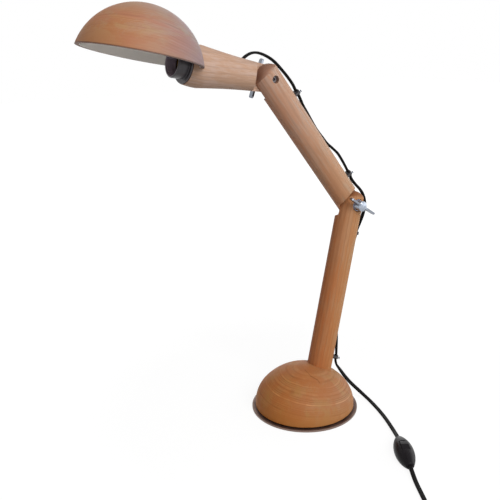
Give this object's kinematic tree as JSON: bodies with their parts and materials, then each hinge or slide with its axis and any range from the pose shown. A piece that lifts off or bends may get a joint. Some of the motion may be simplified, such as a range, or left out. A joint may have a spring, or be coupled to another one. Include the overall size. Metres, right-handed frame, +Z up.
{
  "type": "desk lamp",
  "caption": "Wooden desk lamp with a domed base, jointed arms on half-lap knuckles with wing nuts, a bowl shade over a bulb socket and a cord with switch.",
  "frame": {"origin": "middle of the foot plate's underside, on the table", "axes": "+Z up; the arms swing in the XZ plane and the shade points to -X at rest"},
  "size_m": [0.3982, 0.4618, 0.5501],
  "materials": {
    "foot_steel": "brushed",
    "base_wood": "oiled",
    "arm_wood": "oiled",
    "neck_wood": "oiled",
    "shade_wood": "oiled",
    "zinc": "satin",
    "nut_metal": "polished",
    "cord": "matte",
    "clip_plastic": "matte",
    "switch_plastic": "gloss",
    "holder_plastic": "satin",
    "insert_plastic": "gloss",
    "brass": "satin"
  },
  "bodies": {
    "base": {"base_plate": "foot_steel", "plate_screws": "zinc", "base_dome": "base_wood", "post_screw": "zinc", "lower_arm": "base_wood", "elbow_washer": "zinc", "lower_clips": "clip_plastic", "lower_nails": "zinc", "cord_lower": "cord", "cord_elbow_loop": "cord", "cord_free": "cord", "switch_base": "switch_plastic", "switch_cover": "switch_plastic", "switch_screws": "zinc", "cord_tail": "cord", "cord_coil": "cord", "coil_tie": "clip_plastic", "plug_body": "switch_plastic", "plug_pins": "brass"},
    "upper_arm": {"upper_arm": "arm_wood", "elbow_bolt": "zinc", "wrist_bolt": "zinc", "upper_clips": "clip_plastic", "upper_nails": "zinc", "cord_upper": "cord", "cord_wrist_loop": "cord"},
    "head": {"neck": "neck_wood", "shade": "shade_wood", "lampholder_body": "holder_plastic", "lampholder_insert": "insert_plastic", "screw_shell": "brass", "centre_contact": "brass", "terminal_screws": "brass", "wrist_washer": "zinc", "cord_neck": "cord"},
    "elbow_nut": {"elbow_wing_nut": "nut_metal"},
    "wrist_nut": {"wrist_wing_nut": "nut_metal"},
    "rocker": {"switch_rocker": "switch_plastic"}
  },
  "joints": [
    {"name": "elbow_hinge", "type": "hinge", "parent": "base", "child": "upper_arm", "pos_m": [0.08086, 0, 0.28744], "axis": [0, 1, 0], "range_deg": [-25, 70], "deforming": ["cord_elbow_loop"]},
    {"name": "wrist_hinge", "type": "hinge", "parent": "upper_arm", "child": "head", "pos_m": [-0.05582, 0, 0.46238], "axis": [0, 1, 0], "range_deg": [-40, 60], "deforming": ["cord_wrist_loop"]},
    {"name": "elbow_nut_turn", "type": "hinge", "parent": "upper_arm", "child": "elbow_nut", "pos_m": [0.08086, 0, 0.28744], "axis": [0, -1, 0], "range_deg": [0, 180]},
    {"name": "wrist_nut_turn", "type": "hinge", "parent": "upper_arm", "child": "wrist_nut", "pos_m": [-0.05582, 0, 0.46238], "axis": [0, 1, 0], "range_deg": [0, 180]},
    {"name": "switch_rock", "type": "hinge", "parent": "base", "child": "rocker", "pos_m": [0.021, -0.177, 0.01], "axis": [-0.848, 0.5299, 0], "range_deg": [0, 16]}
  ]
}
